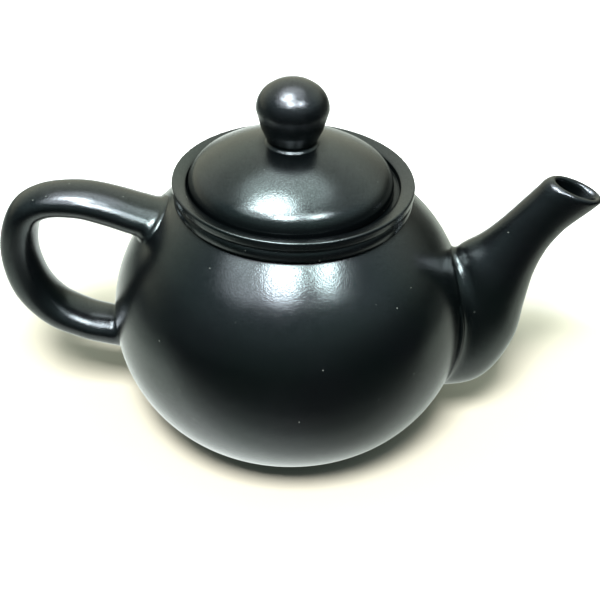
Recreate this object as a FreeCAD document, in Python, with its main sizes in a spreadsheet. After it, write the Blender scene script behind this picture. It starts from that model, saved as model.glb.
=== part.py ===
"""Glazed stoneware teapot: globe body, gallery collar, spout, side loop handle, lid and knob.

Millimetres. The origin is the centre of the foot on the table, +Z is up and +X is towards the spout.
Sections of turned pieces are drawn on the XZ plane: x is the radius and y the height.
"""
import math
import os

import FreeCAD, Part
import Sketcher

FULL_TURN = 360

SIZES = [
    # globe
    ("body_radius", 65, "widest radius of the globe"),
    ("shoulder_arc", 55.4, "section radius above the widest circle"),
    ("belly_arc", 50.4, "section radius below the widest circle"),
    ("belly_sweep", 38, "degrees of the belly arc before the keel arc takes over"),
    ("keel_arc", 41.6, "section radius where the belly turns under"),
    ("wall", 4.5, "thickness of the thrown wall and floor"),
    ("foot_radius", 31, "outside radius of the foot ring"),
    ("foot_height", 2.6, "height of the foot ring, where the belly begins"),
    ("foot_width", 5, "width of the foot ring"),
    ("foot_recess", 2, "depth of the hollow inside the foot ring"),
    # strainer
    ("strainer_hole", 4, "diameter of one pierced hole"),
    ("strainer_pitch", 5.6, "step from one ring of holes to the next"),
    ("strainer_inner_count", 6, "holes in the inner ring"),
    ("strainer_outer_count", 12, "holes in the outer ring"),
    # gallery ring
    ("ring_seat_width", 3.7, "width of the lid seat, from its wall in to the opening"),
    ("ring_base_width", 3.7, "width of the base, from the wall of the seat out"),
    ("ring_bead_width", 4.6, "width of the lower bead, from the wall of the seat out"),
    ("ring_bead_height", 4.2, "height of the lower bead"),
    ("ring_groove_width", 3.4, "width at the bottom of the groove, from the wall of the seat out"),
    ("ring_lip_width", 5.1, "width of the lip, from the wall of the seat out"),
    ("ring_overhang", 0.9, "how far the base stands out over the shoulder"),
    ("ring_lip_height", 6.3, "height of the widest circle of the lip"),
    ("ring_lip_round", 2, "rounding of the lip"),
    ("ring_slope_drop", 1.2, "fall of the slope inside the lip"),
    ("ring_seat_height", 5.2, "height of the lid seat above the land"),
    # lid
    ("lid_radius", 35.9, "widest radius of the lid"),
    ("lid_edge_height", 2.6, "height of the widest circle of the lid above its underside"),
    ("lid_dome", 57.8, "radius of the dome"),
    ("lid_edge_roll", 4.5, "roll of the edge into the dome"),
    ("lid_edge_round", 1.3, "rounding under the edge"),
    ("lid_wall", 4, "thickness of the dome"),
    ("flange_depth", 5, "depth of the locating flange"),
    ("flange_width", 3, "thickness of the locating flange"),
    # knob
    ("knob_radius", 12.4, "widest radius of the knob"),
    ("knob_centre", 11.8, "height of the widest circle above the top of the dome"),
    ("knob_crown", 10.3, "height of the knob above its widest circle"),
    ("knob_side_arc", 9, "section radius of the side of the ball"),
    ("knob_under_arc", 13.6, "section radius under the ball"),
    ("knob_corner_height", 6, "height of the corner between ball and stem"),
    ("knob_stem_radius", 8.3, "radius at the bottom of the stem"),
    ("knob_fillet", 0.5, "fillet of clay round the stem"),
    # fits
    ("lid_seat_clearance", 0.3, "glaze gap between lid and seat"),
    ("lid_side_clearance", 1.3, "gap round the edge of the lid when it is centred"),
    ("flange_clearance", 1.2, "gap between flange and throat when the lid is centred"),
    ("lid_drift", 0.9, "how far the loose lid rests off centre, towards the handle"),
    # spout and handle
    ("spout_wall", 2.8, "thickness of the spout"),
    ("spout_lip_round", 1.1, "rounding inside the mouth of the spout"),
    ("spout_lip_bevel", 0.9, "bevel outside the mouth of the spout"),
]

# Stations along the spout: name, reach beyond the widest circle, rise above it, degrees the section
# is tipped up, half height and half width of the oval.
SPOUT_STATIONS = [
    ("root", -13.9, -6, 2.5, 26.5, 20),
    ("bulb", -0.4, -3, 18.6, 26.9, 19.4),
    ("bend", 6.3, 7.4, 37.1, 22.1, 17.8),
    ("waist", 9.3, 17.8, 48.9, 16.7, 14.5),
    ("neck", 13.1, 26.2, 56.9, 12.3, 11.3),
    ("stem", 17.6, 34.2, 60, 10, 9.4),
    ("throat", 22.5, 41.4, 53.8, 9.2, 8.4),
    ("flare", 27.3, 47.4, 50.5, 9.3, 7.9),
    ("mouth", 33.2, 53.6, 72.9, 10.6, 7.6),
]

# Stations along the handle: name, reach, rise, degrees the section is turned, radius.
HANDLE_STATIONS = [
    ("top_root", -27, 33.1, -17, 9.2),
    ("top_joint", -10.9, 37.6, -17, 7.7),
    ("top_run", 0.9, 41.2, -14, 7.6),
    ("crest", 11.2, 43.1, 0, 6.9),
    ("shoulder", 23.3, 41.8, 25, 6.3),
    ("corner", 30.8, 35.8, 57, 6.3),
    ("back", 34.2, 21.9, 90, 6.9),
    ("heel", 31.4, 7, 112, 7.6),
    ("turn", 23.5, -3.6, 143, 7.5),
    ("low_run", 13, -9.2, 161, 7.3),
    ("low_joint", 4.4, -11.7, 168, 7.5),
    ("low_root", -12.8, -15.3, 172, 8.6),
]

# Section arcs of the globe. It stands on the foot ring, so its height follows from the arcs.
SHOULDER_CENTRE = "(size.body_radius - size.shoulder_arc)"
BELLY_CENTRE = "(size.body_radius - size.belly_arc)"
KEEL_STEP = "(size.belly_arc - size.keel_arc)"
KEEL_CENTRE = "(%s + %s * cos(size.belly_sweep * 1 deg))" % (BELLY_CENTRE, KEEL_STEP)
KEEL_CENTRE_HEIGHT = ("(size.foot_height + sqrt(size.keel_arc^2 - (size.foot_radius - %s)^2))"
                      % KEEL_CENTRE)
EQUATOR_HEIGHT = "(%s + %s * sin(size.belly_sweep * 1 deg))" % (KEEL_CENTRE_HEIGHT, KEEL_STEP)
KEEL_JOIN = BELLY_CENTRE + " + size.belly_arc * cos(size.belly_sweep * 1 deg)"
KEEL_JOIN_INSIDE = BELLY_CENTRE + " + (size.belly_arc - size.wall) * cos(size.belly_sweep * 1 deg)"

# The ring is laid out from the wall that the edge of the lid drops into.
SEAT_WALL = "(size.lid_radius + size.lid_side_clearance)"
THROAT_RADIUS = "(%s - size.ring_seat_width)" % SEAT_WALL
NECK_RADIUS = "(%s + size.ring_base_width - size.ring_overhang)" % SEAT_WALL
NECK_HEIGHT = ("(%s + sqrt(size.shoulder_arc^2 - (%s - %s)^2))"
               % (EQUATOR_HEIGHT, NECK_RADIUS, SHOULDER_CENTRE))

# The dome rises from the roll of the edge.
DOME_CENTRE = ("(size.lid_edge_height - sqrt((size.lid_dome - size.lid_edge_roll)^2"
               " - (size.lid_radius - size.lid_edge_roll)^2))")
LID_HEIGHT = "(%s + size.lid_dome)" % DOME_CENTRE
LID_BASE = NECK_HEIGHT + " + size.ring_seat_height + size.lid_seat_clearance"
LID_DRIFT = "-size.lid_drift"
FLANGE_RADIUS = "(%s - size.flange_clearance)" % THROAT_RADIUS

doc = FreeCAD.newDocument("teapot")


def vector(x, y, z=0):
    return FreeCAD.Vector(x, y, z)


def make_size_sheet():
    sheet = doc.addObject("Spreadsheet::Sheet", "size")
    row = 0
    for name, value, note in SIZES + station_sizes():
        row += 1
        sheet.set("A%d" % row, name)
        sheet.set("B%d" % row, str(value))
        sheet.set("C%d" % row, note)
        sheet.setAlias("B%d" % row, name)
    doc.recompute()


def station_sizes():
    rows = []
    for name, reach, rise, tip, half_height, half_width in SPOUT_STATIONS:
        rows.append(("spout_%s_reach" % name, reach, "centre beyond the widest circle"))
        rows.append(("spout_%s_rise" % name, rise, "centre above the widest circle"))
        rows.append(("spout_%s_tip" % name, tip, "degrees the section is tipped"))
        rows.append(("spout_%s_half_height" % name, half_height, "half height of the oval"))
        rows.append(("spout_%s_half_width" % name, half_width, "half width of the oval"))
    for name, reach, rise, turn, radius in HANDLE_STATIONS:
        rows.append(("handle_%s_reach" % name, reach, "centre beyond the widest circle"))
        rows.append(("handle_%s_rise" % name, rise, "centre above the widest circle"))
        rows.append(("handle_%s_turn" % name, turn, "degrees the section is turned"))
        rows.append(("handle_%s_radius" % name, radius, "radius of the section"))
    return rows


def make_body(label):
    body = doc.addObject("PartDesign::Body", label)
    body.Label = label
    return body


def origin_plane(body, role):
    for feature in body.Origin.OriginFeatures:
        if feature.Role == role:
            return feature
    raise RuntimeError("no plane %s" % role)


def make_sketch(body, name, role):
    sketch = body.newObject("Sketcher::SketchObject", name)
    sketch.AttachmentSupport = (origin_plane(body, role), [""])
    sketch.MapMode = "FlatFace"
    return sketch


def bound(sketch, constraint, expression):
    index = sketch.addConstraint(constraint)
    sketch.setExpression("Constraints[%d]" % index, expression)


class Section:
    """A closed half section on the XZ plane, drawn through named corner points."""

    def __init__(self, body, name):
        self.sketch = make_sketch(body, name, "XZ_Plane")
        self.points = {}

    def point(self, name, x, y):
        """An expression fixes a coordinate; a plain number only says where a free one starts."""
        start = vector(x if not isinstance(x, str) else 1, y if not isinstance(y, str) else 1)
        geo = self.sketch.addGeometry(Part.Point(start), True)
        if isinstance(x, str):
            bound(self.sketch, Sketcher.Constraint("DistanceX", -1, 1, geo, 1, 1), x)
        if isinstance(y, str):
            bound(self.sketch, Sketcher.Constraint("DistanceY", -1, 1, geo, 1, 1), y)
        self.points[name] = geo

    def settle(self):
        doc.recompute()

    def at(self, name):
        return self.sketch.getPoint(self.points[name], 1)

    def join(self, geo, end, name):
        self.sketch.addConstraint(Sketcher.Constraint("Coincident", geo, end, self.points[name], 1))

    def line(self, first, last):
        geo = self.sketch.addGeometry(Part.LineSegment(self.at(first), self.at(last)))
        self.join(geo, 1, first)
        self.join(geo, 2, last)
        return geo

    def level(self, first, second):
        self.sketch.addConstraint(Sketcher.Constraint(
            "Horizontal", self.points[first], 1, self.points[second], 1))

    def path(self, *names):
        for first, last in zip(names, names[1:]):
            self.line(first, last)

    def arc(self, first, last, centre):
        """Counterclockwise from first to last."""
        middle = self.at(centre)
        begin = self.at(first) - middle
        finish = self.at(last) - middle
        circle = Part.Circle(middle, vector(0, 0, 1), begin.Length)
        geo = self.sketch.addGeometry(Part.ArcOfCircle(
            circle, math.atan2(begin.y, begin.x), math.atan2(finish.y, finish.x)))
        self.join(geo, 3, centre)
        self.join(geo, 1, first)
        self.join(geo, 2, last)
        return geo


def turned(body, kind, section, name):
    """Revolution or groove of a section about the vertical axis."""
    feature = body.newObject("PartDesign::" + kind, name)
    feature.Profile = section.sketch
    feature.ReferenceAxis = (section.sketch, ["V_Axis"])
    feature.Angle = FULL_TURN
    section.sketch.Visibility = False
    return feature


def globe_points(section):
    """Corners and centres of the outside of the globe, from the foot to the neck land."""
    section.point("foot", "size.foot_radius", "0")
    section.point("foot_top", "size.foot_radius", 2.6)
    section.point("keel_join", KEEL_JOIN, 17.5)
    section.point("equator", "size.body_radius", EQUATOR_HEIGHT)
    section.point("neck", 40, NECK_HEIGHT)
    section.point("keel_centre", KEEL_CENTRE, KEEL_CENTRE_HEIGHT)
    section.point("belly_centre", BELLY_CENTRE, EQUATOR_HEIGHT)
    section.point("shoulder_centre", SHOULDER_CENTRE, EQUATOR_HEIGHT)


def globe_skin(section):
    section.line("foot", "foot_top")
    # The arcs are drawn from the fixed widest circle outwards, so each has one free end.
    section.arc("equator", "neck", "shoulder_centre")
    section.arc("keel_join", "equator", "belly_centre")
    section.arc("foot_top", "keel_join", "keel_centre")


def cut_by_globe(body):
    """Takes away what is inside the globe or the ring, so the end of a piece sits saddled on them."""
    section = Section(body, "globe_outline")
    globe_points(section)
    ring_radius = SEAT_WALL + " + size.ring_lip_width"
    above_ring = NECK_HEIGHT + " + 2 * size.ring_lip_height"
    section.point("under_ring", ring_radius, NECK_HEIGHT)
    section.point("beside_ring", ring_radius, above_ring)
    section.point("above_ring", "0", above_ring)
    section.point("foot_axis", "0", "0")
    section.settle()
    globe_skin(section)
    section.path("neck", "under_ring", "beside_ring", "above_ring", "foot_axis", "foot")
    return turned(body, "Groove", section, "saddle_cut")


def make_pot_body():
    body = make_body("pot_body")
    section = Section(body, "globe_section")
    globe_points(section)
    section.point("throat", THROAT_RADIUS, NECK_HEIGHT)
    section.point("throat_low", THROAT_RADIUS, 93.4)
    section.point("inside_equator", "size.body_radius - size.wall", EQUATOR_HEIGHT)
    section.point("inside_join", KEEL_JOIN_INSIDE, 20.2)
    section.point("floor_edge", KEEL_CENTRE, 6)
    section.point("floor_axis", "0", 6)
    section.point("recess_axis", "0", "size.foot_recess")
    section.point("recess_edge", "size.foot_radius - size.foot_width", "size.foot_recess")
    section.point("foot_inside", "size.foot_radius - size.foot_width", "0")
    section.settle()
    globe_skin(section)
    section.path("neck", "throat", "throat_low")
    section.arc("inside_equator", "throat_low", "shoulder_centre")
    section.arc("inside_join", "inside_equator", "belly_centre")
    section.arc("floor_edge", "inside_join", "keel_centre")
    section.path("floor_edge", "floor_axis", "recess_axis", "recess_edge", "foot_inside", "foot")
    section.level("floor_edge", "floor_axis")
    turned(body, "Revolution", section, "globe")
    doc.recompute()
    pierce_strainer(body)
    return body


def strainer_sketch(body, name, distance):
    sketch = make_sketch(body, name, "YZ_Plane")
    sketch.setExpression("AttachmentOffset.Base.y", EQUATOR_HEIGHT + " + size.spout_root_rise")
    sketch.addGeometry(Part.Circle(vector(0, 1), vector(0, 0, 1), 1))
    diameter = sketch.addConstraint(Sketcher.Constraint("Diameter", 0, 2))
    sketch.setExpression("Constraints[%d]" % diameter, "size.strainer_hole")
    if distance is None:
        sketch.addConstraint(Sketcher.Constraint("Coincident", 0, 3, -1, 1))
        return sketch
    sketch.addConstraint(Sketcher.Constraint("PointOnObject", 0, 3, -2))
    height = sketch.addConstraint(Sketcher.Constraint("DistanceY", -1, 1, 0, 3, 1))
    sketch.setExpression("Constraints[%d]" % height, distance)
    return sketch


def pierce(body, sketch, name):
    """One hole from the middle of the pot out through the wall behind the spout."""
    hole = body.newObject("PartDesign::Pocket", name)
    hole.Profile = sketch
    hole.Reversed = True
    hole.setExpression("Length", "size.body_radius + size.wall")
    sketch.Visibility = False
    doc.recompute()
    return hole


def ring_of_holes(body, hole, sketch, name, count):
    pattern = body.newObject("PartDesign::PolarPattern", name)
    pattern.Originals = [hole]
    pattern.Axis = (sketch, ["N_Axis"])
    pattern.Angle = FULL_TURN
    pattern.setExpression("Occurrences", count)
    body.Tip = pattern
    doc.recompute()


def pierce_strainer(body):
    pierce(body, strainer_sketch(body, "strainer_centre", None), "centre_hole")
    inner = strainer_sketch(body, "strainer_inner", "size.strainer_pitch")
    inner_hole = pierce(body, inner, "inner_hole")
    ring_of_holes(body, inner_hole, inner, "inner_holes", "size.strainer_inner_count")
    outer = strainer_sketch(body, "strainer_outer", "2 * size.strainer_pitch")
    outer_hole = pierce(body, outer, "outer_hole")
    ring_of_holes(body, outer_hole, outer, "outer_holes", "size.strainer_outer_count")


def make_gallery_ring():
    body = make_body("gallery_ring")
    body.setExpression("Placement.Base.z", NECK_HEIGHT)
    section = Section(body, "ring_section")
    bead = SEAT_WALL + " + size.ring_bead_width"
    lip = SEAT_WALL + " + size.ring_lip_width"
    lip_centre = lip + " - size.ring_lip_round"
    section.point("throat", THROAT_RADIUS, "0")
    section.point("base", SEAT_WALL + " + size.ring_base_width", "0")
    section.point("bead_low", bead, "size.ring_bead_height * 0.35")
    section.point("bead_high", bead, "size.ring_bead_height * 0.75")
    section.point("groove", SEAT_WALL + " + size.ring_groove_width", "size.ring_bead_height")
    section.point("lip_low", lip, "size.ring_lip_height - size.ring_lip_round / 2")
    section.point("lip_wide", lip, "size.ring_lip_height")
    section.point("lip_centre", lip_centre, "size.ring_lip_height")
    section.point("lip_top", lip_centre, 8.3)
    section.point("slope_end", SEAT_WALL,
                  "size.ring_lip_height + size.ring_lip_round - size.ring_slope_drop")
    section.point("seat_edge", SEAT_WALL, "size.ring_seat_height")
    section.point("seat", THROAT_RADIUS, "size.ring_seat_height")
    section.settle()
    section.arc("lip_wide", "lip_top", "lip_centre")
    section.path("throat", "base", "bead_low", "bead_high", "groove", "lip_low", "lip_wide")
    section.path("lip_top", "slope_end", "seat_edge", "seat", "throat")
    turned(body, "Revolution", section, "ring")
    return body


def station_sketch(body, piece, name, angle, reach, rise, side):
    """A tipped plane across a lofted piece. side is 1 towards the spout and -1 towards the handle."""
    sketch = make_sketch(body, "%s_%s" % (piece, name), "YZ_Plane")
    sketch.AttachmentOffset = FreeCAD.Placement(
        vector(0, 0), FreeCAD.Rotation(vector(1, 0, 0), 10))
    sketch.setExpression("AttachmentOffset.Base.y", EQUATOR_HEIGHT + " + " + rise)
    sketch.setExpression("AttachmentOffset.Base.z", "%d * (size.body_radius + %s)" % (side, reach))
    sketch.setExpression("AttachmentOffset.Rotation.Angle", "-1 deg * " + angle)
    return sketch


def quarter_ends(sketch, geo, quarter):
    """Pins a quarter arc to the two axes and the origin."""
    axes = (-2, -1) if quarter % 2 == 0 else (-1, -2)
    sketch.addConstraint(Sketcher.Constraint("Coincident", geo, 3, -1, 1))
    sketch.addConstraint(Sketcher.Constraint("PointOnObject", geo, 1, axes[0]))
    sketch.addConstraint(Sketcher.Constraint("PointOnObject", geo, 2, axes[1]))


def draw_round(sketch, radius):
    """A circle in four quarters, so that every station has its corners in line."""
    circle = Part.Circle(vector(0, 0), vector(0, 0, 1), 8)
    for quarter in range(4):
        start = (quarter + 1) * math.pi / 2
        geo = sketch.addGeometry(Part.ArcOfCircle(circle, start, start + math.pi / 2))
        quarter_ends(sketch, geo, quarter)
        bound(sketch, Sketcher.Constraint("Radius", geo, 8), radius)


def draw_oval(sketch, half_height, half_width):
    """An upright ellipse in four quarters."""
    ellipse = Part.Ellipse(vector(0, 10), vector(-8, 0), vector(0, 0))
    for quarter in range(4):
        start = quarter * math.pi / 2
        geo = sketch.addGeometry(Part.ArcOfEllipse(ellipse, start, start + math.pi / 2))
        sketch.exposeInternalGeometry(geo)
        quarter_ends(sketch, geo, quarter)
        sketch.addConstraint(Sketcher.Constraint("Vertical", geo + 1))
        bound(sketch, Sketcher.Constraint("Distance", geo + 1, 20), "2 * (%s)" % half_height)
        bound(sketch, Sketcher.Constraint("Distance", geo + 2, 16), "2 * (%s)" % half_width)


def loft(body, kind, sketches, name):
    doc.recompute()
    feature = body.newObject("PartDesign::" + kind, name)
    feature.Profile = sketches[0]
    feature.Sections = sketches[1:]
    for sketch in sketches:
        sketch.Visibility = False
    doc.recompute()
    return feature


def spout_stations(body, piece, inset):
    sketches = []
    for station in SPOUT_STATIONS:
        name = station[0]
        value = "size.spout_%s_" % name
        sketch = station_sketch(body, piece, name, value + "tip", value + "reach", value + "rise", 1)
        draw_oval(sketch, value + "half_height" + inset, value + "half_width" + inset)
        sketches.append(sketch)
    return sketches


def mouth_edges(shape, outside):
    """Names of the outer or inner edges of the flat rim of the spout, its highest flat face."""
    flat = [face for face in shape.Faces if isinstance(face.Surface, Part.Plane)]
    rim = max(flat, key=lambda face: face.CenterOfMass.z)
    names = []
    for index, edge in enumerate(shape.Edges, 1):
        on_rim = any(edge.isSame(other) for other in rim.Edges)
        on_outer = any(edge.isSame(other) for other in rim.OuterWire.Edges)
        if on_rim and on_outer == outside:
            names.append("Edge%d" % index)
    return names


def make_spout():
    body = make_body("spout")
    loft(body, "AdditiveLoft", spout_stations(body, "skin", ""), "tube")
    loft(body, "SubtractiveLoft", spout_stations(body, "bore", " - size.spout_wall"), "bore")
    cut = cut_by_globe(body)
    doc.recompute()
    inside = body.newObject("PartDesign::Fillet", "lip_inside")
    inside.Base = (cut, mouth_edges(cut.Shape, False))
    inside.setExpression("Radius", "size.spout_lip_round")
    doc.recompute()
    outside = body.newObject("PartDesign::Chamfer", "lip_outside")
    outside.Base = (inside, mouth_edges(inside.Shape, True))
    outside.setExpression("Size", "size.spout_lip_bevel")
    return body


def make_handle():
    body = make_body("handle")
    sketches = []
    for station in HANDLE_STATIONS:
        name = station[0]
        value = "size.handle_%s_" % name
        sketch = station_sketch(body, "loop", name, value + "turn", value + "reach", value + "rise", -1)
        draw_round(sketch, value + "radius")
        sketches.append(sketch)
    loft(body, "AdditiveLoft", sketches, "loop")
    cut_by_globe(body)
    return body


def make_lid():
    body = make_body("lid")
    body.setExpression("Placement.Base.x", LID_DRIFT)
    body.setExpression("Placement.Base.z", LID_BASE)
    section = Section(body, "lid_section")
    roll_centre = "size.lid_radius - size.lid_edge_roll"
    flange_inside = FLANGE_RADIUS + " - size.flange_width"
    section.point("flange_low", FLANGE_RADIUS, "-size.flange_depth")
    section.point("flange_top", FLANGE_RADIUS, "0")
    section.point("under_edge", "size.lid_radius - size.lid_edge_round", "0")
    section.point("round_centre", "size.lid_radius - size.lid_edge_round", "size.lid_edge_round")
    section.point("edge_low", 35.9, "size.lid_edge_round")
    section.point("edge_high", "size.lid_radius", 2.6)
    section.point("roll_centre", roll_centre, 2.6)
    section.point("roll_end", 34, 6.2)
    section.point("dome_centre", "0", DOME_CENTRE)
    section.point("apex", "0", LID_HEIGHT)
    section.point("inside_apex", "0", LID_HEIGHT + " - size.lid_wall")
    section.point("inside_edge", flange_inside, 4.3)
    section.point("flange_inside", flange_inside, "-size.flange_depth")
    section.settle()
    section.arc("under_edge", "edge_low", "round_centre")
    section.line("edge_low", "edge_high")
    roll = section.arc("edge_high", "roll_end", "roll_centre")
    dome = section.arc("roll_end", "apex", "dome_centre")
    section.level("edge_high", "roll_centre")
    section.sketch.addConstraint(Sketcher.Constraint("Tangent", roll, dome))
    section.arc("inside_edge", "inside_apex", "dome_centre")
    section.path("inside_edge", "flange_inside", "flange_low", "flange_top", "under_edge")
    section.line("inside_apex", "apex")
    turned(body, "Revolution", section, "dome")
    return body


def make_knob():
    body = make_body("knob")
    body.setExpression("Placement.Base.x", LID_DRIFT)
    body.setExpression("Placement.Base.z", LID_BASE + " + " + LID_HEIGHT)
    section = Section(body, "knob_section")
    foot_radius = "size.knob_stem_radius + size.knob_fillet"
    section.point("dome_centre", "0", "-size.lid_dome")
    section.point("foot_axis", "0", "0")
    section.point("foot", foot_radius, -0.7)
    section.point("stem", "size.knob_stem_radius", "size.knob_fillet")
    section.point("corner", 11.1, "size.knob_corner_height")
    section.point("wide", "size.knob_radius", "size.knob_centre")
    section.point("under_centre", "size.knob_radius - size.knob_under_arc", "size.knob_centre")
    section.point("side_centre", "size.knob_radius - size.knob_side_arc", "size.knob_centre")
    section.point("crown_join", 7.5, 19.8)
    section.point("crown_centre", "0", 8)
    section.point("top", "0", "size.knob_centre + size.knob_crown")
    section.settle()
    section.arc("foot", "foot_axis", "dome_centre")
    section.path("foot", "stem", "corner")
    section.arc("corner", "wide", "under_centre")
    side = section.arc("wide", "crown_join", "side_centre")
    crown = section.arc("crown_join", "top", "crown_centre")
    section.sketch.addConstraint(Sketcher.Constraint("Tangent", side, crown))
    section.line("top", "foot_axis")
    turned(body, "Revolution", section, "ball")
    return body


def export(pieces):
    os.makedirs("parts", exist_ok=True)
    for item in doc.Objects:
        if "Invalid" in item.State or "Error" in item.State:
            raise RuntimeError("%s is %s" % (item.Label, item.State))
    for piece in pieces:
        if piece.Shape.isNull() or not piece.Shape.isValid():
            raise RuntimeError("%s has no valid shape" % piece.Label)
    for piece in pieces:
        piece.Shape.exportStep("parts/%s.step" % piece.Label)


make_size_sheet()
PIECES = [make_pot_body(), make_gallery_ring(), make_spout(), make_handle(), make_lid(), make_knob()]
doc.recompute()
export(PIECES)
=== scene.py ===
"""Glazed stoneware teapot: the visible surfaces, the glaze, and a small white studio.

Laid out as an add-on: the sizes are properties, each piece has an operator, and the panel
lists them.
Everything is in metres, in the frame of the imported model: +Z up, +X towards the spout.
"""
import math

import bmesh
import bpy
from mathutils import Matrix, Vector


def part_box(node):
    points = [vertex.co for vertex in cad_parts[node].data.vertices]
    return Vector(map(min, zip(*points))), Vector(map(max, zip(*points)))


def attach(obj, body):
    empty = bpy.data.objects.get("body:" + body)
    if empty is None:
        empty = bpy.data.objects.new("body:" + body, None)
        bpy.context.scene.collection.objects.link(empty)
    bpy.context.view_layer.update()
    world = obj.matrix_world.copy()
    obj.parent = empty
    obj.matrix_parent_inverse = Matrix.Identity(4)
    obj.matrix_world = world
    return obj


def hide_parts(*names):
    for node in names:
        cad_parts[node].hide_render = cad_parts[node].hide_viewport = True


bl_info = {
    "name": "Stoneware teapot",
    "version": (1, 0, 0),
    "blender": (4, 5, 0),
    "location": "View3D > Sidebar > Teapot",
    "description": "Builds a black glazed teapot and the studio it stands in",
    "category": "Add Mesh",
}

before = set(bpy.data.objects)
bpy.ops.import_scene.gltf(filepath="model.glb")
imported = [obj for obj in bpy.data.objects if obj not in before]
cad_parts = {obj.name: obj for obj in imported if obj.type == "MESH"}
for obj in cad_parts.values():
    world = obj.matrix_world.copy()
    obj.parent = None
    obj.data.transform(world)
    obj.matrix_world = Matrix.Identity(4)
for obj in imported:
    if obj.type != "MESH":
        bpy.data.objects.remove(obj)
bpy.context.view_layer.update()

MM = 0.001
TURN = 2 * math.pi

# Fits and details that no property sets.
LID_SIDE_GAP = 1.3 * MM
SEAT_HEIGHT = 5.2 * MM
SEAT_WALL_TOP = 7.1 * MM
FLANGE_WIDTH = 3 * MM
FOOT_ROUND = 0.7 * MM
COLLAR_ROUND = 0.4 * MM
LID_ROUND = 1.1 * MM
STEM_ROUND = 0.5 * MM
STRAINER_DROP = 3.5 * MM
CUTTER_LENGTH = 40 * MM
CUTTER_TWIST = math.radians(4)

# Degrees: where the section of the globe goes over from one arc to the next.
SHOULDER_TURN = 44
BELLY_SWEEP = 38

# Spout and handle: wall of the spout, clay smeared round the roots, how much wider that smear is
# at the spout's upper sides, and how much narrower the spout's root is above than below.
SPOUT_WALL = 2.8 * MM
SPOUT_SMEAR = 2.2 * MM
HANDLE_SMEAR = 3 * MM
SPOUT_FLARE = 2.6
SPOUT_PEAR = 0.36

# Tubes run this far in under the skin of the globe, which is looked for within this many
# stations of an end. The spout's mouth is rounded over from this many stations below its tip.
SINK = 2 * MM
ROOT_SPAN = 2.5
LIP_START = 0.12


# ---------------------------------------------------------------- sizes


def length(name, description, default):
    return bpy.props.FloatProperty(name=name, description=description, default=default * MM,
                                   unit="LENGTH", precision=5)


class TeapotBodySizes(bpy.types.PropertyGroup):
    """The thrown globe and its foot."""
    radius: length("Radius", "Widest radius of the globe", 64.97)
    equator: length("Equator", "Height of the widest circle", 48.5)
    shoulder_arc: length("Shoulder arc", "Section radius above the widest circle", 53.5)
    shoulder_cone: length("Shoulder cone", "Section radius of the near-straight top", 110.9)
    belly_arc: length("Belly arc", "Section radius below the widest circle", 50.4)
    keel_arc: length("Keel arc", "Section radius where the belly turns under", 41.6)
    wall: length("Wall", "Thickness of the wall", 4.5)
    floor: length("Floor", "Height of the inside of the base", 6.5)
    foot_radius: length("Foot radius", "Outside radius of the foot ring", 31)
    foot_width: length("Foot width", "Width of the foot ring", 5)
    foot_recess: length("Foot recess", "Depth of the hollow inside the foot", 2)
    throat: length("Throat", "Radius of the opening", 33.5)
    hole: length("Strainer hole", "Diameter of one pierced hole", 4)
    hole_pitch: length("Strainer pitch", "Step between rings of holes", 5.6)


class TeapotLidSizes(bpy.types.PropertyGroup):
    """The lid and its knob, measured from the underside of the lid."""
    radius: length("Radius", "Widest radius of the lid", 35.9)
    dome: length("Dome", "Radius of the dome", 57.8)
    rise: length("Rise", "Height of the dome above its underside", 17.33)
    roll: length("Roll", "Roll of the edge into the dome", 8.2)
    wall: length("Wall", "Thickness of the dome", 4)
    flange: length("Flange", "Outside radius of the locating flange", 32.3)
    flange_depth: length("Flange depth", "Depth of the locating flange", 5)
    knob_radius: length("Knob radius", "Widest radius of the knob", 12.4)


class TeapotGlaze(bpy.types.PropertyGroup):
    """How the glaze takes the light."""
    roughness: bpy.props.FloatProperty(
        name="Roughness", description="Mean roughness of the satin glaze",
        default=0.2, min=0, max=1, subtype="FACTOR")
    index: bpy.props.FloatProperty(
        name="Index", description="Refractive index of the glassy coat",
        default=1.5, min=1, max=4)
    grain: bpy.props.FloatProperty(
        name="Grain", description="Strength of the fine sparkle in the glaze",
        default=0.6, min=0, max=1, subtype="FACTOR")


def body_sizes():
    return bpy.context.scene.teapot_body


def lid_sizes():
    return bpy.context.scene.teapot_lid


# ---------------------------------------------------------------- sections and sweeps


def arc(centre, radius, start, finish, steps):
    """Points of a section arc, angles in degrees from the horizontal."""
    points = []
    for step in range(steps + 1):
        angle = math.radians(start + (finish - start) * step / steps)
        points.append((centre[0] + radius * math.cos(angle), centre[1] + radius * math.sin(angle)))
    return points


def rounded(points, radius, steps=5):
    """The section with each corner rounded, except its two ends.

    A rounding takes at most 0.45 of a side, so two neighbours never meet.
    """
    result = [points[0]]
    for before, corner, after in zip(points, points[1:], points[2:]):
        corner = Vector(corner)
        towards = Vector(before) - corner
        away = Vector(after) - corner
        cut = min(radius, towards.length * 0.45, away.length * 0.45)
        first = corner + towards.normalized() * cut
        last = corner + away.normalized() * cut
        for step in range(steps + 1):
            t = step / steps
            point = first * (1 - t) ** 2 + corner * 2 * t * (1 - t) + last * t ** 2
            result.append((point.x, point.y))
    result.append(points[-1])
    return result


def new_object(name, data):
    built = bpy.data.objects.new(name, data)
    bpy.context.scene.collection.objects.link(built)
    return built


def finish_mesh(work, name):
    bmesh.ops.remove_doubles(work, verts=work.verts, dist=1e-7)
    bmesh.ops.recalc_face_normals(work, faces=work.faces)
    for face in work.faces:
        face.smooth = True
    mesh = bpy.data.meshes.new(name)
    work.to_mesh(mesh)
    work.free()
    return new_object(name, mesh)


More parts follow.
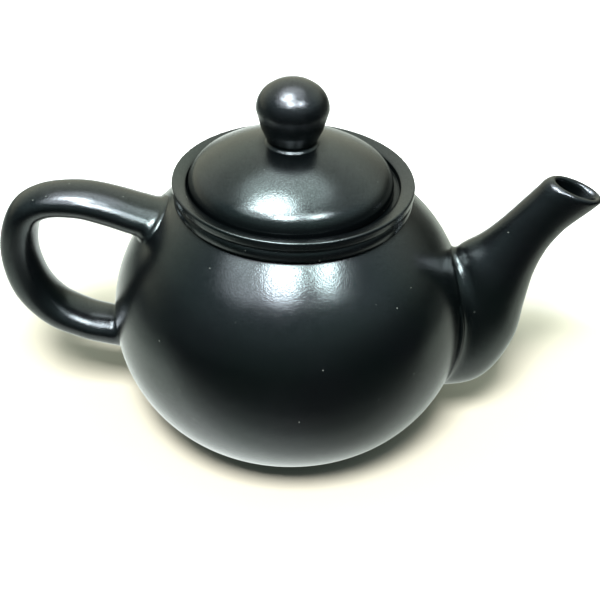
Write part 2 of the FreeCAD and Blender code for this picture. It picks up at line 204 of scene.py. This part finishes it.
def turn_section(name, section, base=0.0, steps=192, middle=0.0):
    """A turned piece: the section (radius, height) spun about a vertical axis at x = middle."""
    work = bmesh.new()
    verts = [work.verts.new((middle + radius, 0, base + height)) for radius, height in section]
    edges = [work.edges.new(pair) for pair in zip(verts, verts[1:])]
    bmesh.ops.spin(work, geom=verts + edges, axis=(0, 0, 1), cent=(middle, 0, 0),
                   angle=TURN, steps=steps, use_merge=True)
    return finish_mesh(work, name)


def smooth_between(rows, position):
    """Catmull-Rom through rows of numbers, at a position counted in rows."""
    last = len(rows) - 1
    index = min(int(position), last - 1)
    t = position - index
    result = []
    for column in range(len(rows[0])):
        here = rows[index][column]
        there = rows[index + 1][column]
        before = rows[index - 1][column] if index else 2 * here - there
        after = rows[index + 2][column] if index + 2 <= last else 2 * there - here
        result.append(0.5 * (2 * here + (there - before) * t
                             + (2 * before - 5 * here + 4 * there - after) * t ** 2
                             + (3 * here - before - 3 * there + after) * t ** 3))
    return result


def ease(share):
    """0 to 1 with a gentle start and end."""
    return share * share * (3 - 2 * share)


class Tube:
    """A swept tube through stations (reach, rise, degrees, half height, half width), in mm.

    A pear is narrower above than below at its first station and evens out to an oval at its last.
    """

    def __init__(self, stations, side, inset=0.0, pear=0.0):
        sizes = body_sizes()
        self.rows = []
        self.pear = pear
        for reach, rise, tip, half_height, half_width in stations:
            self.rows.append((side * (sizes.radius + reach * MM), sizes.equator + rise * MM,
                              math.radians(tip), half_height * MM - inset, half_width * MM - inset))

    def point(self, position, around):
        x, z, tip, half_height, half_width = smooth_between(self.rows, position)
        up = Vector((-math.sin(tip), 0, math.cos(tip)))
        share = max(0.0, min(1.0, position / (len(self.rows) - 1)))
        fade = 1 - ease(share)
        # Width comes off above, and a very little of it goes back on below.
        narrow = self.pear * fade * ((0.5 + 0.5 * math.cos(around)) ** 2 - 0.06)
        return (Vector((x, 0, z)) + up * (half_height * math.cos(around))
                + Vector((0, half_width * (1 - narrow) * math.sin(around), 0)))

    def normal(self, position, around):
        step = 1e-3
        last = len(self.rows) - 1
        low = max(0, position - step)
        high = min(last, position + step)
        along = self.point(high, around) - self.point(low, around)
        across = self.point(position, around + step) - self.point(position, around - step)
        outward = across.cross(along).normalized()
        centre = self.point(position, around) * 0.5 + self.point(position, around + math.pi) * 0.5
        if outward.dot(self.point(position, around) - centre) < 0:
            outward.negate()
        return outward


def nearest_arc(point):
    """The globe's section at this height: radius of the arc, and reach of its centre."""
    sizes = body_sizes()
    section = sizes.shoulder_arc if point.z > sizes.equator else sizes.belly_arc
    return section, sizes.radius - section


def above_globe(point):
    """Distance outside the skin of the globe; negative inside."""
    section, reach = nearest_arc(point)
    radius = math.hypot(point.x, point.y)
    return math.hypot(radius - reach, point.z - body_sizes().equator) - section


def where_it_leaves(tube, around, depth, start, finish):
    """Position along the tube where its skin rises through the given depth under the globe."""
    inside, outside = start, finish
    for _ in range(24):
        middle = (inside + outside) / 2
        if above_globe(tube.point(middle, around)) < depth:
            inside = middle
        else:
            outside = middle
    return (inside + outside) / 2


def fillet_push(distance, radius):
    """How far clay smeared into the corner stands off the tube, this far from the globe."""
    if distance >= radius:
        return 0.0
    inside = radius - max(distance, 0.0)
    return radius - math.sqrt(max(radius ** 2 - inside ** 2, 0.0))


def corner_depth(outward, point):
    """How deep the corner is where a skin meets the globe: 0 tangent, 1 square or sharper."""
    _, reach = nearest_arc(point)
    across = math.hypot(point.x, point.y)
    globe = Vector((point.x / across * (across - reach), point.y / across * (across - reach),
                    point.z - body_sizes().equator)).normalized()
    return min(1.0, max(0.0, 1.0 - globe.dot(outward)))


def loops_to_mesh(work, loops):
    """Quads from each loop of points to the next. Returns the loops as vertices."""
    rings = [[work.verts.new(point) for point in loop] for loop in loops]
    for first, second in zip(rings, rings[1:]):
        for i in range(len(first)):
            j = (i + 1) % len(first)
            work.faces.new((first[i], first[j], second[j], second[i]))
    return rings


def claim(piece, body, node):
    """Gives a finished piece its glaze, its body and the CAD piece it stands for."""
    piece.data.materials.append(black_glaze())
    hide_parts(node)
    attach(piece, body)


# ---------------------------------------------------------------- materials


def linear(code):
    """sRGB hex to the linear colour a shader takes."""
    channels = []
    for start in (1, 3, 5):
        value = int(code[start:start + 2], 16) / 255
        channels.append(value / 12.92 if value <= 0.04045 else ((value + 0.055) / 1.055) ** 2.4)
    return (*channels, 1.0)


def add_node(tree, kind, inputs=None, **attributes):
    """One node. Each input takes a value, or the output of another node."""
    node = tree.nodes.new(kind)
    for name, value in attributes.items():
        setattr(node, name, value)
    for name, value in (inputs or {}).items():
        if isinstance(value, bpy.types.NodeSocket):
            tree.links.new(value, node.inputs[name])
        else:
            node.inputs[name].default_value = value
    return node


def remap(tree, value, low, high, to_low=0.0, to_high=1.0):
    return add_node(tree, "ShaderNodeMapRange",
                    {"Value": value, "From Min": low, "From Max": high,
                     "To Min": to_low, "To Max": to_high}).outputs["Result"]


def arithmetic(tree, operation, first, second):
    return add_node(tree, "ShaderNodeMath", {0: first, 1: second},
                    operation=operation).outputs["Value"]


def mix_colour(tree, kind, factor, first, second):
    """Inputs 6 and 7 of the node are its two colours."""
    return add_node(tree, "ShaderNodeMix", {0: factor, 6: first, 7: second},
                    data_type="RGBA", blend_type=kind).outputs[2]


def noise(tree, where, scale, detail):
    return add_node(tree, "ShaderNodeTexNoise",
                    {"Vector": where, "Scale": scale, "Detail": detail}).outputs["Fac"]


def ramp(tree, factor, stops, smooth=True):
    """A colour ramp through (position, colour) stops."""
    node = add_node(tree, "ShaderNodeValToRGB", {"Fac": factor})
    elements = node.color_ramp.elements
    while len(elements) < len(stops):
        elements.new(0.5)
    for element, (position, colour) in zip(elements, stops):
        element.position = position
        element.color = (*colour[:3], 1)
    if smooth:
        node.color_ramp.interpolation = "EASE"
    return node.outputs["Color"]


def axes(tree, where):
    """The X, Y and Z of a coordinate."""
    parts = add_node(tree, "ShaderNodeSeparateXYZ", {"Vector": where}).outputs
    return parts["X"], parts["Y"], parts["Z"]


def new_material(name):
    """The material and its empty tree, or the material made earlier and None."""
    material = bpy.data.materials.get(name)
    if material:
        return material, None
    material = bpy.data.materials.new(name)
    material.use_nodes = True
    material.node_tree.nodes.clear()
    return material, material.node_tree


def black_glaze():
    """Satin iron-black stoneware glaze: near black, a cool sheen, fine grain, rare pinholes."""
    material, tree = new_material("satin_black_glaze")
    if tree is None:
        return material
    glaze = bpy.context.scene.teapot_glaze
    where = add_node(tree, "ShaderNodeTexCoord").outputs["Object"]

    # Slow drift of colour where the glaze pooled thicker or thinner, about 30 mm across.
    tone = ramp(tree, noise(tree, where, 35.0, 2.0),
                [(0.35, linear("#020404")), (0.68, linear("#030405"))], smooth=False)

    # Rare pinholes about a third of a millimetre across, where pale clay shows.
    cells = add_node(tree, "ShaderNodeTexVoronoi",
                     {"Vector": where, "Scale": 420.0, "Randomness": 1.0})
    hole = remap(tree, cells.outputs["Distance"], 0.10, 0.05)
    pick = add_node(tree, "ShaderNodeSeparateColor", {"Color": cells.outputs["Color"]})
    rare = arithmetic(tree, "GREATER_THAN", pick.outputs["Red"], 0.96)
    speck = arithmetic(tree, "MULTIPLY", hole, rare)
    colour = mix_colour(tree, "MIX", speck, tone, linear("#5b605b"))

    # Roughness wanders a little at 4 mm, so the edge of a highlight is uneven, and the knob is
    # duller from handling.
    patch = noise(tree, where, 240.0, 3.0)
    rough = remap(tree, patch, 0.3, 0.7, glaze.roughness - 0.02, glaze.roughness + 0.02)
    _, _, height = axes(tree, where)
    handled = remap(tree, height, 0.118, 0.126, 0.0, 0.045)
    rough = arithmetic(tree, "ADD", rough, handled)

    # Fine grain half a millimetre across over a lazy unevenness 12 mm across.
    grain = noise(tree, where, 2100.0, 1.0)
    slow = add_node(tree, "ShaderNodeBump", {
        "Height": noise(tree, where, 80.0, 1.0), "Strength": 0.12, "Distance": 0.0004})
    fine = add_node(tree, "ShaderNodeBump", {
        "Height": grain, "Strength": glaze.grain, "Distance": 0.00007,
        "Normal": slow.outputs["Normal"]})

    # The sheen dies away at a glancing angle, and the grain breaks it up. Painted shade: an
    # occlusion mask darkens the sheen in the corners and crevices.
    facing = add_node(tree, "ShaderNodeLayerWeight", {"Blend": 0.5}).outputs["Facing"]
    # Painted shade in corners and crevices, within 7 mm of a facing surface.
    corner = add_node(tree, "ShaderNodeAmbientOcclusion", {"Distance": 0.007}, samples=8)
    sheen = arithmetic(tree, "MULTIPLY", remap(tree, facing, 0.45, 1.0, 0.5, 0.04),
                       remap(tree, corner.outputs["AO"], 0.36, 0.86, 0.1, 1.0))
    sheen = arithmetic(tree, "MULTIPLY", sheen, remap(tree, grain, 0.3, 0.7, 0.7, 1.3))

    # The sheen itself drifts from sea green to a faint blue over 40 mm.
    hue = ramp(tree, noise(tree, where, 26.0, 1.0),
               [(0.35, linear("#eafbf7")), (0.65, linear("#f1f5fb"))], smooth=False)

    shader = add_node(tree, "ShaderNodeBsdfPrincipled", {
        "IOR": glaze.index, "Base Color": colour, "Roughness": rough,
        "Specular IOR Level": sheen, "Specular Tint": hue, "Normal": fine.outputs["Normal"]})
    add_node(tree, "ShaderNodeOutputMaterial", {"Surface": shader.outputs["BSDF"]})
    return material


def paper_floor():
    """A white sheet. Glossy rays see a painted reflection on it: a glowing pool of light round the
    pot, brightest at its left.
    """
    material, tree = new_material("white_paper_floor")
    if tree is None:
        return material
    where = add_node(tree, "ShaderNodeTexCoord").outputs["Object"]
    across, depth, _ = axes(tree, where)

    # Painted reflection that only glossy rays see: painted light beside and behind the pot,
    # painted shade in front of it.
    painted_light_pool = ramp(tree, remap(tree, across, -0.4, 0.4), [
        (0.0, (0.10, 0.12, 0.11)), (0.23, (0.40, 0.46, 0.41)), (0.34, (0.82, 0.9, 0.82)),
        (0.48, (1.15, 1.25, 1.2)), (0.56, (0.6, 0.66, 0.6)), (0.72, (0.48, 0.53, 0.46)),
        (1.0, (0.08, 0.09, 0.08))])
    # The edge of the painted shade runs a little slanted, nearer the lens on the left.
    slant = arithmetic(tree, "SUBTRACT", depth, arithmetic(tree, "MULTIPLY", across, 0.16))
    painted_front_shade = ramp(tree, remap(tree, slant, -0.25, 0.0), [
        (position, (grey, grey, grey)) for position, grey in
        ((0.0, 0.03), (0.42, 0.06), (0.6, 0.24), (0.7, 0.52), (0.8, 0.9), (1.0, 1.0))])
    painted_floor_reflection = add_node(tree, "ShaderNodeEmission", {
        "Color": mix_colour(tree, "MULTIPLY", 1.0, painted_light_pool, painted_front_shade), "Strength": 1.95})

    # What the lens sees: cream close to the pot. Further out and behind it the paper is painted
    # brighter, up to white: painted light that washes out the shadows there.
    reach = add_node(tree, "ShaderNodeVectorMath", {0: where},
                     operation="LENGTH").outputs["Value"]
    # Painted light: the paper is painted brighter behind the pot.
    reach = arithmetic(tree, "ADD", reach, remap(tree, depth, 0.035, 0.07, 0.0, 0.09))
    cream_and_painted_light = ramp(tree, remap(tree, reach, 0.09, 0.28), [
        (0.0, (0.365, 0.345, 0.285)), (0.55, (0.42, 0.41, 0.33)),
        (0.8, (0.5, 0.495, 0.44)), (1.0, (0.75, 0.75, 0.75))])
    seen = add_node(tree, "ShaderNodeBsdfDiffuse", {"Color": cream_and_painted_light})

    # What bounces light on: plain cream paper.
    paper = add_node(tree, "ShaderNodeBsdfDiffuse", {"Color": (0.85, 0.84, 0.78, 1)})
    path = add_node(tree, "ShaderNodeLightPath").outputs
    plain = add_node(tree, "ShaderNodeMixShader", {
        0: path["Is Camera Ray"], 1: paper.outputs[0], 2: seen.outputs[0]})
    # Glossy rays see the glowing painted reflection in place of the paper.
    choose = add_node(tree, "ShaderNodeMixShader", {
        0: path["Is Glossy Ray"], 1: plain.outputs[0], 2: painted_floor_reflection.outputs[0]})
    add_node(tree, "ShaderNodeOutputMaterial", {"Surface": choose.outputs[0]})
    return material


# ---------------------------------------------------------------- turned pieces


def globe_section():
    """Outside from the neck down, round the foot, and back up the inside to the neck."""
    sizes = body_sizes()
    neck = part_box("pot_body")[1][2]
    shoulder = (sizes.radius - sizes.shoulder_arc, sizes.equator)
    belly = (sizes.radius - sizes.belly_arc, sizes.equator)
    sweep = math.radians(BELLY_SWEEP)
    keel = (belly[0] + (sizes.belly_arc - sizes.keel_arc) * math.cos(sweep),
            belly[1] - (sizes.belly_arc - sizes.keel_arc) * math.sin(sweep))
    turn = math.radians(SHOULDER_TURN)
    cone = (shoulder[0] - (sizes.shoulder_cone - sizes.shoulder_arc) * math.cos(turn),
            shoulder[1] - (sizes.shoulder_cone - sizes.shoulder_arc) * math.sin(turn))
    top = math.degrees(math.asin((neck - cone[1]) / sizes.shoulder_cone))
    foot = -math.degrees(math.acos((sizes.foot_radius - keel[0]) / sizes.keel_arc))
    outside = (arc(cone, sizes.shoulder_cone, top, SHOULDER_TURN, 20)
               + arc(shoulder, sizes.shoulder_arc, SHOULDER_TURN, 0, 48)[1:]
               + arc(belly, sizes.belly_arc, 0, -BELLY_SWEEP, 30)[1:]
               + arc(keel, sizes.keel_arc, -BELLY_SWEEP, foot, 30)[1:])
    inner_foot = sizes.foot_radius - sizes.foot_width
    base = rounded([outside[-1], (sizes.foot_radius, 0), (inner_foot, 0),
                    (inner_foot, sizes.foot_recess), (0, sizes.foot_recess)], FOOT_ROUND)
    inside_top = math.degrees(math.acos((sizes.throat - shoulder[0])
                                        / (sizes.shoulder_arc - sizes.wall)))
    floor_angle = -math.degrees(math.asin((keel[1] - sizes.floor)
                                          / (sizes.keel_arc - sizes.wall)))
    inside = ([(0, sizes.floor)]
              + arc(keel, sizes.keel_arc - sizes.wall, floor_angle, -BELLY_SWEEP, 16)
              + arc(belly, sizes.belly_arc - sizes.wall, -BELLY_SWEEP, 0, 16)[1:]
              + arc(shoulder, sizes.shoulder_arc - sizes.wall, 0, inside_top, 24)[1:])
    return outside + base[1:] + inside + [(sizes.throat, neck), outside[0]]


def pierce(piece, centre_height):
    """The strainer: a hole, a ring of six and a ring of twelve, through the wall at the spout."""
    sizes = body_sizes()
    work = bmesh.new()
    spots = [(0, 0)]
    for ring, count in ((1, 6), (2, 12)):
        for index in range(count):
            angle = TURN * index / count
            reach = ring * sizes.hole_pitch
            spots.append((reach * math.sin(angle), reach * math.cos(angle)))
    for y, z in spots:
        # The twist keeps the cutter's corners off the globe's own edges.
        place = (Matrix.Translation((sizes.radius, y, centre_height + z))
                 @ Matrix.Rotation(math.pi / 2, 4, "Y") @ Matrix.Rotation(CUTTER_TWIST, 4, "Z"))
        bmesh.ops.create_cone(work, cap_ends=True, segments=24, radius1=sizes.hole / 2,
                              radius2=sizes.hole / 2, depth=CUTTER_LENGTH, matrix=place)
    cutter = finish_mesh(work, "strainer_cutter")
    cut = piece.modifiers.new("strainer", "BOOLEAN")
    cut.operation = "DIFFERENCE"
    cut.object = cutter
    cut.solver = "EXACT"
    evaluated = piece.evaluated_get(bpy.context.evaluated_depsgraph_get())
    mesh = bpy.data.meshes.new_from_object(evaluated)
    piece.modifiers.clear()
    piece.data = mesh
    bpy.data.objects.remove(cutter)


def collar_section():
    """The gallery: lower bead, groove, rounded lip, slope, seat and throat. From the land up."""
    throat = body_sizes().throat
    wall = lid_sizes().radius + LID_SIDE_GAP
    profile = [(40.9, 0), (41.35, 0.35), (41.75, 1.0), (41.85, 2.2), (41.7, 3.2), (41.3, 4.0),
               (40.9, 4.4), (41.3, 4.75), (42.1, 5.1), (42.28, 5.9), (42.28, 7.5), (42.0, 8.1),
               (41.6, 8.25), (38.1, 7.45)]
    points = [(radius * MM, height * MM) for radius, height in profile]
    points += [(wall, SEAT_WALL_TOP), (wall, SEAT_HEIGHT), (throat, SEAT_HEIGHT), (throat, 0),
               points[0]]
    return rounded(points, COLLAR_ROUND)


def lid_section():
    """The dome and its rolled edge, then the underside and the hollow of the dome."""
    sizes = lid_sizes()
    centre = (0, sizes.rise - sizes.dome)
    reach = sizes.dome - sizes.roll
    roll_angle = math.degrees(math.acos((sizes.radius - sizes.roll) / reach))
    roll_centre = (sizes.radius - sizes.roll,
                   centre[1] + reach * math.sin(math.radians(roll_angle)))
    dome = arc(centre, sizes.dome, 90, roll_angle, 40)
    edge = arc(roll_centre, sizes.roll, roll_angle, 0, 12)[1:]
    inner = sizes.flange - FLANGE_WIDTH
    inner_radius = sizes.dome - sizes.wall
    inner_angle = math.degrees(math.acos(inner / inner_radius))
    under = rounded([edge[-1], (sizes.radius, 0), (sizes.flange, 0),
                     (sizes.flange, -sizes.flange_depth), (inner, -sizes.flange_depth),
                     (inner, centre[1] + inner_radius * math.sin(math.radians(inner_angle)))],
                    LID_ROUND)
    inside = arc(centre, inner_radius, inner_angle, 90, 24)
    return [(0, sizes.rise)] + dome[1:] + edge + under[1:] + inside[1:-1] + [
        (0, sizes.rise - sizes.wall)]


def knob_section():
    """Flattened ball on a tapering stem, from the top of the dome up."""
    radius = lid_sizes().knob_radius
    top, wide = 22.1 * MM, 11.8 * MM
    crown_arc, side_arc, under_arc = 14.1 * MM, 9 * MM, 13.6 * MM
    crown = arc((0, top - crown_arc), crown_arc, 90, 61, 16)
    side = arc((radius - side_arc, wide), side_arc, 61, 0, 20)
    # The flank is straight from the widest circle to the stem. The arc under the ball only says
    # which way the stem's first corner is rounded.
    flank = arc((radius - under_arc, wide), under_arc, 0, -24, 1)[-1]
    stem = [(10.4, 4.6), (9.5, 2.6), (8.75, 1.0), (8.45, 0.35), (8.7, -0.15), (9.3, -0.62),
            (9.6, -1.2)]
    foot = [(reach * MM, height * MM) for reach, height in stem]
    lower = rounded([flank] + foot, STEM_ROUND)
    return [(0, top)] + crown[1:] + side[1:] + lower[1:] + [(0, foot[-1][1])]


# ---------------------------------------------------------------- luted pieces

# Reach beyond the widest circle, rise above it, degrees the section is tipped, half height and
# half width, all lengths in mm.
SPOUT_STATIONS = [
    (-13.9, -6, 2.5, 26.5, 20.5),
    (-0.4, -3, 18.6, 26.9, 18.6),
    (6.3, 7.4, 37.1, 22.1, 16.4),
    (9.3, 17.8, 48.9, 16.7, 13.8),
    (13.1, 26.2, 56.9, 12.3, 11.3),
    (17.6, 34.2, 60, 10, 9.4),
    (22.5, 41.4, 53.8, 9.2, 8.4),
    (27.3, 47.4, 50.5, 9.3, 7.9),
    (33.2, 53.6, 72.9, 10.6, 7.6),
]

HANDLE_STATIONS = [
    (-27, 33.1, -17, 6.2, 11.0),
    (-10.9, 37.6, -17, 6.2, 11.0),
    (0.9, 41.2, -14, 6.2, 10.2),
    (11.2, 43.1, 0, 5.8, 9.7),
    (23.3, 41.8, 25, 5.7, 8.8),
    (30.8, 35.8, 57, 6.1, 8.6),
    (34.15, 21.9, 90, 6.9, 8.6),
    (31.4, 7, 112, 7.3, 9.2),
    (23.5, -3.6, 143, 6.5, 10.0),
    (13, -9.2, 161, 6.0, 10.0),
    (4.4, -11.7, 168, 6.3, 9.6),
    (-12.8, -15.3, 172, 6.8, 8.6),
]


def skin_loops(tube, finish, rings, sides, smear=0.0, flare=0.0, both_ends=False):
    """Rings of points up a tube, its first end cut to the globe and smeared into it.

    A handle comes back to the globe, so there both ends are. The flare is how much wider the
    smear of clay is at the upper sides than below.
    """
    loops = [[] for _ in range(rings + 1)]
    for index in range(sides):
        around = TURN * index / sides
        upper = (0.5 + 0.5 * math.cos(around)) * math.sin(around) ** 2
        low = where_it_leaves(tube, around, -SINK, 0, ROOT_SPAN)
        high = finish
        if both_ends:
            high = where_it_leaves(tube, around, -SINK, finish, finish - ROOT_SPAN)
        for step in range(rings + 1):
            t = step / rings
            # Rings stand a little closer together towards both ends.
            position = low + (high - low) * (ease(t) * 0.35 + t * 0.65)
            point = tube.point(position, around)
            push = fillet_push(above_globe(point), smear * (1 + flare * upper))
            if push:
                outward = tube.normal(position, around)
                point = point + outward * push * corner_depth(outward, point)
            loops[step].append(point)
    return loops


def rounded_mouth(skin, outside, inside, steps=10):
    """Rings that roll the skin of the spout over into its bore, at least 0.6 of a wall high."""
    last = len(skin.rows) - 1
    count = len(outside)
    rings = []
    for step in range(1, steps):
        angle = math.pi * step / steps
        ring = []
        for index in range(count):
            outer, inner = outside[index], inside[index]
            middle = (outer + inner) / 2
            rise = skin.point(last, TURN * index / count) - outer
            height = max(rise.length, 0.6 * SPOUT_WALL)
            ring.append(middle + (outer - middle) * math.cos(angle)
                        + rise.normalized() * height * math.sin(angle))
        rings.append(ring)
    return rings


def spout_mesh():
    skin = Tube(SPOUT_STATIONS, 1, pear=SPOUT_PEAR)
    bore = Tube(SPOUT_STATIONS, 1, inset=SPOUT_WALL, pear=SPOUT_PEAR)
    finish = len(SPOUT_STATIONS) - 1 - LIP_START
    outside = skin_loops(skin, finish, rings=130, sides=72, smear=SPOUT_SMEAR, flare=SPOUT_FLARE)
    inside = skin_loops(bore, finish, rings=60, sides=72)
    inside.reverse()
    mouth = rounded_mouth(skin, outside[-1], inside[0])
    work = bmesh.new()
    loops_to_mesh(work, outside + mouth + inside + outside[:1])
    return finish_mesh(work, "spout_hollow")


def handle_mesh():
    tube = Tube(HANDLE_STATIONS, -1)
    loops = skin_loops(tube, len(HANDLE_STATIONS) - 1, rings=150, sides=64,
                       smear=HANDLE_SMEAR, both_ends=True)
    work = bmesh.new()
    rings = loops_to_mesh(work, loops)
    work.faces.new(rings[0])
    work.faces.new(rings[-1])
    return finish_mesh(work, "handle_loop")


# ---------------------------------------------------------------- operators


class TEAPOT_OT_globe(bpy.types.Operator):
    """Build the thrown globe, its foot and its strainer"""
    bl_idname = "teapot.globe"
    bl_label = "Globe"

    def execute(self, context):
        piece = turn_section("pot_globe", globe_section(), steps=256)
        pierce(piece, body_sizes().equator - STRAINER_DROP)
        claim(piece, "pot", "pot_body")
        return {"FINISHED"}


class TEAPOT_OT_collar(bpy.types.Operator):
    """Build the gallery ring that the lid sits in"""
    bl_idname = "teapot.collar"
    bl_label = "Collar"

    def execute(self, context):
        piece = turn_section("gallery_collar", collar_section(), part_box("gallery_ring")[0][2])
        claim(piece, "pot", "gallery_ring")
        return {"FINISHED"}


class TEAPOT_OT_spout(bpy.types.Operator):
    """Build the hollow spout with its rounded mouth"""
    bl_idname = "teapot.spout"
    bl_label = "Spout"

    def execute(self, context):
        claim(spout_mesh(), "pot", "spout")
        return {"FINISHED"}


class TEAPOT_OT_handle(bpy.types.Operator):
    """Build the side loop handle"""
    bl_idname = "teapot.handle"
    bl_label = "Handle"

    def execute(self, context):
        claim(handle_mesh(), "pot", "handle")
        return {"FINISHED"}


class TEAPOT_OT_lid(bpy.types.Operator):
    """Build the domed lid and its flange"""
    bl_idname = "teapot.lid"
    bl_label = "Lid"

    def execute(self, context):
        low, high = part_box("lid")
        piece = turn_section("lid_dome", lid_section(), high[2] - lid_sizes().rise,
                             middle=(low[0] + high[0]) / 2)
        claim(piece, "lid", "lid")
        return {"FINISHED"}


class TEAPOT_OT_knob(bpy.types.Operator):
    """Build the ball knob"""
    bl_idname = "teapot.knob"
    bl_label = "Knob"

    def execute(self, context):
        low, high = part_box("lid")
        piece = turn_section("lid_knob", knob_section(), high[2], steps=128,
                             middle=(low[0] + high[0]) / 2)
        claim(piece, "lid", "knob")
        return {"FINISHED"}


# ---------------------------------------------------------------- studio

# Panels that only the glaze picks up: name, place, size and watts.
PANELS = (
    ("panel_over", (-0.21, -0.11, 1.05), (0.50, 0.32), 21.0),
    ("panel_front", (-0.08, -0.54, 1.05), (0.39, 0.40), 25.0),
    ("panel_right", (0.42, -0.43, 1.05), (0.22, 0.38), 14.0),
    ("panel_gap", (0.18, -0.32, 1.05), (0.16, 0.12), 2.0),
    ("panel_left", (-0.55, -0.45, 1.05), (0.56, 0.76), 6.0),
    ("panel_glow", (-0.05, 0.20, 1.05), (1.00, 0.60), 7.0),
)


def add_panel(name, centre, size, energy):
    """A soft oval light, facing straight down, that only the glaze picks up."""
    lamp = bpy.data.lights.new(name, "AREA")
    lamp.shape = "ELLIPSE"
    lamp.size, lamp.size_y = size
    lamp.energy = energy
    lamp.color = (0.93, 1.0, 1.04)
    holder = new_object(name, lamp)
    holder.location = centre
    holder.visible_diffuse = False


def add_key():
    """The light that throws the shadows, from high in front; the glaze doesn't mirror it."""
    lamp = bpy.data.lights.new("key", "AREA")
    lamp.size = 0.3
    lamp.energy = 43.0
    holder = new_object("key", lamp)
    holder.location = (-0.09, -0.57, 0.95)
    holder.rotation_euler = holder.location.to_track_quat("Z", "Y").to_euler()
    holder.visible_glossy = False


def add_camera():
    """In front, looking down at 36 degrees from 413 mm away, and rolled by 1.93 degrees."""
    elevation = math.radians(36.0)
    roll = math.radians(1.93)
    distance = 0.4129
    target = Vector((0.00365, 0, 0.05063))
    lens = bpy.data.cameras.new("camera")
    lens.sensor_width = 36.0
    lens.lens = 66.0
    lens.clip_start = 0.01
    holder = new_object("camera", lens)
    holder.location = target + distance * Vector((0, -math.cos(elevation), math.sin(elevation)))
    tilt = Matrix.Rotation(math.pi / 2 - elevation, 3, "X")
    holder.rotation_euler = (tilt @ Matrix.Rotation(roll, 3, "Z")).to_euler()
    bpy.context.scene.camera = holder


def room_light():
    """A dim room: dark low in front, paler to the right, cream behind and pale overhead."""
    world = bpy.data.worlds.new("dim_room")
    bpy.context.scene.world = world
    world.use_nodes = True
    tree = world.node_tree
    tree.nodes.clear()
    across, depth, up = axes(tree, add_node(tree, "ShaderNodeTexCoord").outputs["Generated"])
    height = ramp(tree, up, [
        (0.0, (0.09, 0.13, 0.12)), (0.2, (0.14, 0.18, 0.18)), (0.42, (0.33, 0.45, 0.45)),
        (0.62, (0.34, 0.47, 0.5)), (0.8, (0.4, 0.5, 0.53)), (1.0, (0.6, 0.7, 0.75))])
    right = remap(tree, across, 0.2, 1.0, 0.0, 0.4)
    side = mix_colour(tree, "ADD", right, height, (0.8, 1.0, 0.95, 1))
    behind = remap(tree, depth, -0.1, 1.0, 0.0, 1.3)
    back = mix_colour(tree, "ADD", behind, side, (1.0, 1.0, 0.78, 1))

    # Low on the right the room falls into dusk.
    dusk = arithmetic(tree, "MULTIPLY", remap(tree, across, 0.2, 0.65, 0.0, 0.92),
                      remap(tree, up, 0.6, 0.1))
    shade = add_node(tree, "ShaderNodeBackground", {
        "Color": back, "Strength": arithmetic(tree, "SUBTRACT", 1.0, dusk)})
    add_node(tree, "ShaderNodeOutputWorld", {"Surface": shade.outputs[0]})


class TEAPOT_OT_studio(bpy.types.Operator):
    """Build the floor, the lights and the camera"""
    bl_idname = "teapot.studio"
    bl_label = "Studio"

    def execute(self, context):
        work = bmesh.new()
        bmesh.ops.create_grid(work, x_segments=1, y_segments=1, size=2.0)
        paper = finish_mesh(work, "paper_floor")
        paper.data.materials.append(paper_floor())
        room_light()
        for panel in PANELS:
            add_panel(*panel)
        add_key()
        add_camera()
        context.scene.view_settings.view_transform = "Standard"
        return {"FINISHED"}


PIECES = (TEAPOT_OT_globe, TEAPOT_OT_collar, TEAPOT_OT_spout, TEAPOT_OT_handle, TEAPOT_OT_lid,
          TEAPOT_OT_knob, TEAPOT_OT_studio)


class TEAPOT_PT_panel(bpy.types.Panel):
    """The teapot's pieces, one button each"""
    bl_idname = "TEAPOT_PT_panel"
    bl_label = "Teapot"
    bl_space_type = "VIEW_3D"
    bl_region_type = "UI"
    bl_category = "Teapot"

    def draw(self, context):
        for piece in PIECES:
            self.layout.operator(piece.bl_idname)


CLASSES = (TeapotBodySizes, TeapotLidSizes, TeapotGlaze, *PIECES, TEAPOT_PT_panel)


def register():
    for item in CLASSES:
        bpy.utils.register_class(item)
    bpy.types.Scene.teapot_body = bpy.props.PointerProperty(type=TeapotBodySizes)
    bpy.types.Scene.teapot_lid = bpy.props.PointerProperty(type=TeapotLidSizes)
    bpy.types.Scene.teapot_glaze = bpy.props.PointerProperty(type=TeapotGlaze)


def unregister():
    del bpy.types.Scene.teapot_glaze
    del bpy.types.Scene.teapot_lid
    del bpy.types.Scene.teapot_body
    for item in reversed(CLASSES):
        bpy.utils.unregister_class(item)


def main():
    register()
    bpy.ops.teapot.globe()
    bpy.ops.teapot.collar()
    bpy.ops.teapot.spout()
    bpy.ops.teapot.handle()
    bpy.ops.teapot.lid()
    bpy.ops.teapot.knob()
    bpy.ops.teapot.studio()


if __name__ == "__main__":
    main()
